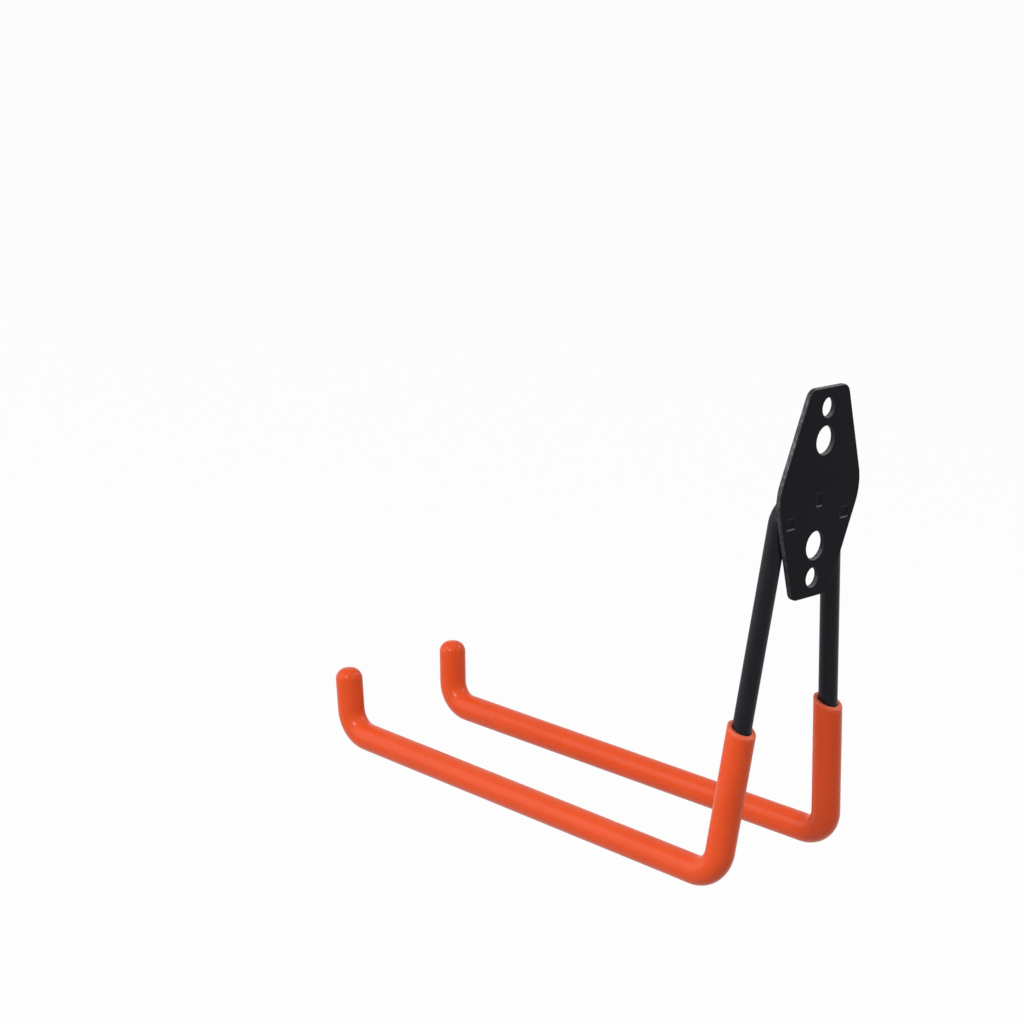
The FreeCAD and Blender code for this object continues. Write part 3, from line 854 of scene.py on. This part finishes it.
def add_hole(shape, plate, profile, radius, height):
    """A hole on the centre line. Low down its wall is painted lighter and its edge carries a
    painted highlight, where they face up.
    """
    rings = np.stack([lifted(circle_outline((0.0, height), radius + outward, HOLE_AROUND), y)
                      for outward, y in profile])
    low = (height - rings[:, :, 2]) / radius
    # Painted highlight on the hole's edge low down, where it faces up
    upward_highlight = UPWARD_HIGHLIGHT * np.clip(2.0 * (low - HOLE_HIGHLIGHT_START), 0.0, 1.0)
    depth = profile[:, 1]
    upward_highlight[(depth == 0.0) | (-depth > plate.thickness * HOLE_HIGHLIGHT_DEPTH)] = 0.0
    # Painted light: the hole's wall is paler low down, where it faces up, on top of its share of
    # torn steel
    bare_and_lit = BARE_IN_HOLE + LIGHTER_LOW_IN_HOLE * low
    return shape.add_band(rings, wall_share(plate, profile) * bare_and_lit, upward_highlight)


def pad_places(plate, bar):
    """Middle, width and height of each weld pad: under the bar's rounded apex, and on both
    legs."""
    slope = (bar.apex_height - bar.shoulder_height) / (bar.shoulder_span / 2)
    middle = bar.apex_height - bar.apex_bend * (math.sqrt(1 + slope ** 2) - 1)
    spread = (bar.arm_root_span - bar.shoulder_span) / 2
    fall = bar.arm_drop + bar.shoulder_height
    across = bar.shoulder_span / 2 + plate.pad_drop * spread / fall
    down = bar.shoulder_height - plate.pad_drop
    middle -= (plate.apex_pad_height - plate.pad_height) / 2
    side_pad = (plate.pad_width, plate.pad_height)
    return [((0.0, middle), plate.apex_pad_width, plate.apex_pad_height),
            ((-across, down), *side_pad), ((across, down), *side_pad)]


def pad_outline(plate, centre, width, height, across, upright):
    """The pad's outline, its sides moved in by one amount and its top and bottom by another."""
    half_width, half_height = width / 2 - across, height / 2 - upright
    corners = [(centre[0] + x * half_width, centre[1] + z * half_height)
               for x, z in ((1, 1), (-1, 1), (-1, -1), (1, -1))]
    radius = plate.pad_corner - min(across, upright)
    return rounded_outline(corners, [radius] * len(corners), 0.0, PAD_CORNER_POINTS)


def add_hollow(shape, plate, centre, width, height):
    """The pressed hollow: its mouth rounds over, its sides slope in and its floor is flat.
    Pairs of offset and depth, from the wall face in. A painted highlight lies a little on every
    slope and most of all on the lower one, which faces up."""
    depth, lip = plate.pad_depth, HOLLOW_LIP
    slope = math.tan(plate.pad_draft)
    run = depth * slope
    profile = [(-HOLLOW_STRIP, 0.0), (-lip, 0.0)]
    profile += [(lip * out, -lip * down) for out, down in LIP_CURVE]
    profile += [(run / 2, -depth / 2)]
    profile += [(run - lip * out, -depth + lip * down) for out, down in reversed(LIP_CURVE)]
    profile += [(run + lip, -depth)]
    steep = math.tan(plate.pad_side_draft) / slope
    rings = []
    for offset, y in profile:
        across = offset * steep if offset > 0 else offset
        rings.append(lifted(pad_outline(plate, centre, width, height, across, offset), y))
    rings = np.stack(rings)
    # Painted highlight: strongest on the lower slope, which faces up, fading towards the sides,
    # and a little on every slope
    low = np.clip((centre[1] - rings[:, :, 2]) / (height / 2 - run), 0.0, 1.0)
    from_side = width / 2 - np.abs(rings[:, :, 0] - centre[0])
    low = low ** HIGHLIGHT_SHARPNESS * np.clip(from_side / HIGHLIGHT_SIDE_FADE, 0.0, 1.0)
    by_ring = np.array(HIGHLIGHT_BY_RING)[:, None]
    thin = HIGHLIGHT_ANYWHERE + (1.0 - HIGHLIGHT_ANYWHERE) * low
    near, far = shape.add_band(rings, pressed=by_ring * thin)
    shape.add_fill([far], up=True)
    return near


def add_pad(shape, plate, centre, width, height):
    """The pad that the press raises on the front, up to and into the bar that lies on it."""
    face, rise, lip = -plate.thickness, plate.pad_rise, PAD_LIP
    angle = quarter(SMALL_POINTS)
    skirt = [(-PAD_STRIP, face), (-lip, face)]
    skirt += [(-lip + lip * math.sin(t), face - lip + lip * math.cos(t)) for t in angle[1:]]
    skirt += [(0.0, face - rise * PAD_WALL_POINT)]
    skirt += [(lip - lip * math.cos(t), face - rise + lip - lip * math.sin(t)) for t in angle]
    rings = np.stack([lifted(pad_outline(plate, centre, width, height, offset, offset), y)
                      for offset, y in skirt])
    near, far = shape.add_band(rings)
    shape.add_fill([far], up=False)
    return near


# Operators, one for each piece


class HOOK_OT_add_plate(bpy.types.Operator):
    """Add the stamped plate with its holes, pressed hollows and weld pads"""
    bl_idname = "hook.add_plate"
    bl_label = "Add Plate"

    def execute(self, context):
        plate, bar, _ = settings(context)
        shape = build_plate(plate, bar)
        points = shape.points
        middle = -plate.thickness / 2
        bands = [band_outward(faces, points, middle) for faces in shape.rounded]
        finish = context.scene.hook_finish
        material = shared_material(
            "Plate Powder Coat", coat_material, finish, finish.plate_gloss, True)
        blocks = [*bands, *shape.flat]
        if sum(enclosed_volume(points, faces) for faces in blocks) < 0:
            raise RuntimeError("the plate is inside out")
        smooth = [True] * len(bands) + [False] * len(shape.flat)
        piece = new_piece("stamped_plate", points, blocks, material, smooth)
        # The sheared wall share also holds painted light and shade; the next share is painted
        # highlight
        set_attribute(piece, "sheared_wall", shape.wall)
        set_attribute(piece, "pressed_edge", shape.pressed)
        finish_piece(piece, "plate_coating", "back_plate")
        return {"FINISHED"}


def band_outward(faces, points, middle):
    """Faces of one band, turned together so that its first row, which lies in the wall face
    or in the front face, looks away from the plate's middle plane."""
    a, b, c = (points[faces[0, corner]] for corner in range(3))
    flat_row = np.cross(b - a, c - a)[1]
    looks_out = flat_row > 0 if a[1] > middle else flat_row < 0
    return faces if looks_out else faces[:, ::-1]


class HOOK_OT_add_bar(bpy.types.Operator):
    """Add the bent steel bar"""
    bl_idname = "hook.add_bar"
    bl_label = "Add Bar"

    def execute(self, context):
        plate, bar, sleeve = settings(context)
        line = bar_line(plate, bar, sleeve)
        radius, bevel = bar.diameter / 2, bar.end_bevel
        middle = evenly_spaced(bevel, line.length - bevel, LINE_STEP)
        distances = np.concatenate([[0.0, 0.0], middle, [line.length, line.length]])
        radii = np.concatenate([[0.0, radius - bevel], np.full(len(middle), radius),
                                [radius - bevel, 0.0]])
        points, blocks = capped(swept_grid(line, distances, radii, BAR_AROUND))
        finish = context.scene.hook_finish
        material = shared_material(
            "Bar Powder Coat", coat_material, finish, finish.bar_gloss, False)
        piece = new_piece("bent_bar", points, blocks, material)
        finish_piece(piece, "rod_coating", "hook_rod")
        return {"FINISHED"}


class HOOK_OT_add_sleeves(bpy.types.Operator):
    """Add a soft sleeve over each arm, from its slanted open end to its domed tip"""
    bl_idname = "hook.add_sleeves"
    bl_label = "Add Sleeves"

    def execute(self, context):
        plate, bar, sleeve = settings(context)
        material = shared_material("Orange Vinyl", vinyl_material, context.scene.hook_finish)
        for side, sign in SIDES.items():
            line, distances, radii, rim = sleeve_profile(plate, bar, sleeve, sign)
            grid = swept_grid(line, distances, radii, SLEEVE_AROUND,
                              slanted_end(sleeve), rippled_wall(sleeve, sign))
            points, blocks = capped(grid)
            piece = new_piece("grip_" + side, points, blocks, material)
            # Painted highlight share round the open end, one for each point
            pale = np.concatenate([np.repeat(rim[1:-1], SLEEVE_AROUND), [0.0, 0.0]])
            set_attribute(piece, "open_rim", pale)
            finish_piece(piece, "sleeve_vinyl", "grip_sleeve_" + side)
        return {"FINISHED"}


def slanted_end(sleeve):
    """Slides each ring along the line onto the slanted plane of the open end, less and less
    down the leg."""
    cut = unit(np.array([0.0, math.tan(sleeve.slant), 1.0]))

    def shift(distances, spoke, ahead):
        share = np.clip(1.0 - distances / SLANT_FADE, 0.0, 1.0)[:, None]
        lean = (ahead @ cut)[:, None]
        return -share * (spoke @ cut) / np.where(np.abs(lean) < LEAST_LEAN, 1.0, lean)

    return shift


def rippled_wall(sleeve, sign):
    """The mean of slow waves sin(k s + n a), along the sleeve and round it, times its ripple."""

    def swell(distances, angle):
        waves = [np.sin(along * distances + lobes * angle + (sign if own else 0.0))
                 for along, lobes, own in RIPPLES]
        return sleeve.ripple * sum(waves) / len(waves)

    return swell


def sleeve_profile(plate, bar, sleeve, sign):
    """The sleeve's own line from its open end to its dome, and its wall as pairs of distance
    and radius: up over the dome, along the outside, round the lip and down the bore."""
    shoulder, root, tip, end = arm_corners(plate, bar, sign)
    open_end = root + unit(shoulder - root) * sleeve.rise
    line = CentreLine([open_end, root, tip, end], [bar.arm_bend, bar.tip_bend], SLEEVE_SIDE)
    bore = bar.diameter / 2 + sleeve.clearance
    outer = bore + sleeve.wall
    dome, lip, soft = sleeve.dome_radius, sleeve.lip_radius, MOUTH_ROUNDING
    arc = quarter(DOME_POINTS)
    dome_s = line.length - dome + dome * np.cos(arc)
    dome_r = outer - dome + dome * np.sin(arc)
    outside_s = evenly_spaced(line.length - dome, lip, LINE_STEP)[1:]
    lip_arc = quarter(LIP_POINTS)[1:]
    lip_s = lip - lip * np.sin(lip_arc)
    lip_r = outer - lip + lip * np.cos(lip_arc)
    mouth_arc = quarter(SMALL_POINTS)
    mouth_s = soft - soft * np.cos(mouth_arc)
    mouth_r = bore + soft - soft * np.sin(mouth_arc)
    bore_end = line.length - sleeve.end_wall + sleeve.clearance
    inside_s = evenly_spaced(soft, bore_end, BORE_STEP)[1:]
    distances = np.concatenate([[line.length], dome_s, outside_s, lip_s, mouth_s, inside_s,
                                [bore_end]])
    radii = np.concatenate([[0.0], dome_r, np.full(len(outside_s), outer), lip_r, mouth_r,
                            np.full(len(inside_s), bore), [0.0]])
    # Painted highlight: full at the open end and fading out inwards, none in the bore
    rim = np.clip(1.0 - distances / RIM_HIGHLIGHT_DEPTH, 0.0, 1.0)
    rim[-len(inside_s) - 1:] = 0.0
    return line, distances, radii, rim


class HOOK_OT_add_stage(bpy.types.Operator):
    """Add the floor, the lights and the camera"""
    bl_idname = "hook.add_stage"
    bl_label = "Add Stage"

    def execute(self, context):
        studio = context.scene.hook_studio
        add_floor(studio)
        add_world(context.scene, studio)
        add_lights(studio)
        add_camera(context.scene, studio)
        context.scene.view_settings.view_transform = "Standard"
        return {"FINISHED"}


def add_floor(studio):
    """A wide pale floor. The camera sees it mostly as plain white, with a faint shadow."""
    half, height = studio.floor_size / 2, studio.floor_height
    mesh = bpy.data.meshes.new("studio_floor")
    mesh.from_pydata([(-half, -half, height), (half, -half, height),
                      (half, half, height), (-half, half, height)], [], [(0, 1, 2, 3)])
    floor = place_object("studio_floor", mesh)
    material = bpy.data.materials.new("Pale Floor")
    tree, output = cleared_tree(material)
    diffuse = add_node(tree, "ShaderNodeBsdfDiffuse", {"Color": FLOOR_GREY})
    white = add_node(tree, "ShaderNodeEmission", {"Color": WHITE, "Strength": 1.0})
    share = maths(tree, "MULTIPLY", shown_rays(tree), FLOOR_WHITE_SHARE)
    mix_shaders(tree, output, share, diffuse.outputs["BSDF"], white.outputs["Emission"])
    mesh.materials.append(material)


def mix_shaders(tree, output, share, first, second):
    """first where the share is 0 and second where it is 1, on the output's surface."""
    mix = add_node(tree, "ShaderNodeMixShader", {"Fac": share})
    for socket, shader in zip(mix.inputs[1:], (first, second)):
        tree.links.new(shader, socket)
    tree.links.new(mix.outputs["Shader"], output.inputs["Surface"])


def shown_rays(tree):
    """1 for the rays that show the background: the camera's own, mirrored and clear ones."""
    rays = tree.nodes.new("ShaderNodeLightPath")
    seen = maths(tree, "MAXIMUM", rays.outputs["Is Camera Ray"], rays.outputs["Is Glossy Ray"])
    return maths(tree, "MAXIMUM", seen, rays.outputs["Is Transmission Ray"])


def add_world(scene, studio):
    """Even light from all round. The camera sees it as white."""
    world = bpy.data.worlds.new("Studio World")
    scene.world = world
    tree, output = cleared_tree(world, "ShaderNodeOutputWorld")
    room, white = (
        add_node(tree, "ShaderNodeBackground", {"Color": WHITE, "Strength": strength})
        for strength in (studio.room_light, 1.0))
    mix_shaders(tree, output, shown_rays(tree),
                room.outputs["Background"], white.outputs["Background"])


def add_lights(studio):
    """Square soft lamps that all look at one place on the hook, each at its own power."""
    for name, (where, side) in LAMPS.items():
        data = bpy.data.lights.new(name, "AREA")
        data.shape = "SQUARE"
        data.size = side
        data.energy = getattr(studio, name)
        lamp = place_object(name, data)
        lamp.location = where
        lamp.rotation_mode = "QUATERNION"
        ahead = Vector(LIT_PLACE) - Vector(where)
        lamp.rotation_quaternion = ahead.to_track_quat("-Z", "Y")


def add_camera(scene, studio):
    """The camera by its three axes: to the right of the picture, up, and back to the lens."""
    data = bpy.data.cameras.new("studio_camera")
    data.sensor_width = SENSOR_WIDTH
    data.lens = studio.focal_length
    data.clip_start = NEAREST
    data.clip_end = FARTHEST
    camera = place_object("studio_camera", data)
    right = unit(np.array(CAMERA_RIGHT))
    back = unit(np.array(CAMERA_BACK))
    up = unit(np.cross(back, right))
    right = np.cross(up, back)
    where = (studio.camera_x, studio.camera_y, studio.camera_z)
    columns = [(*axis, 0.0) for axis in (right, up, back)] + [(*where, 1.0)]
    camera.matrix_world = Matrix(columns).transposed()
    scene.camera = camera


class HOOK_PT_pieces(bpy.types.Panel):
    """Lists the hook's pieces"""
    bl_idname = "HOOK_PT_pieces"
    bl_label = "Garage Utility Hook"
    bl_space_type = "VIEW_3D"
    bl_region_type = "UI"
    bl_category = "Hook"

    def draw(self, context):
        for operator in OPERATORS:
            self.layout.operator(operator.bl_idname)
        for name, kind in GROUPS.items():
            group = getattr(context.scene, name)
            box = self.layout.box()
            box.label(text=name.replace("_", " ").title())
            for item in kind.__annotations__:
                box.prop(group, item)


GROUPS = {
    "hook_plate": HookPlateSizes,
    "hook_bar": HookBarSizes,
    "hook_sleeve": HookSleeveSizes,
    "hook_finish": HookFinishes,
    "hook_studio": HookStudio,
}
OPERATORS = (HOOK_OT_add_plate, HOOK_OT_add_bar, HOOK_OT_add_sleeves, HOOK_OT_add_stage)


def register():
    for group in GROUPS.values():
        bpy.utils.register_class(group)
    for operator in OPERATORS:
        bpy.utils.register_class(operator)
    bpy.utils.register_class(HOOK_PT_pieces)
    for name, group in GROUPS.items():
        setattr(bpy.types.Scene, name, PointerProperty(type=group))


def unregister():
    for name in GROUPS:
        delattr(bpy.types.Scene, name)
    bpy.utils.unregister_class(HOOK_PT_pieces)
    for operator in reversed(OPERATORS):
        bpy.utils.unregister_class(operator)
    for group in reversed(GROUPS.values()):
        bpy.utils.unregister_class(group)


def main():
    register()
    bpy.ops.hook.add_plate()
    bpy.ops.hook.add_bar()
    bpy.ops.hook.add_sleeves()
    bpy.ops.hook.add_stage()


if __name__ == "__main__":
    main()
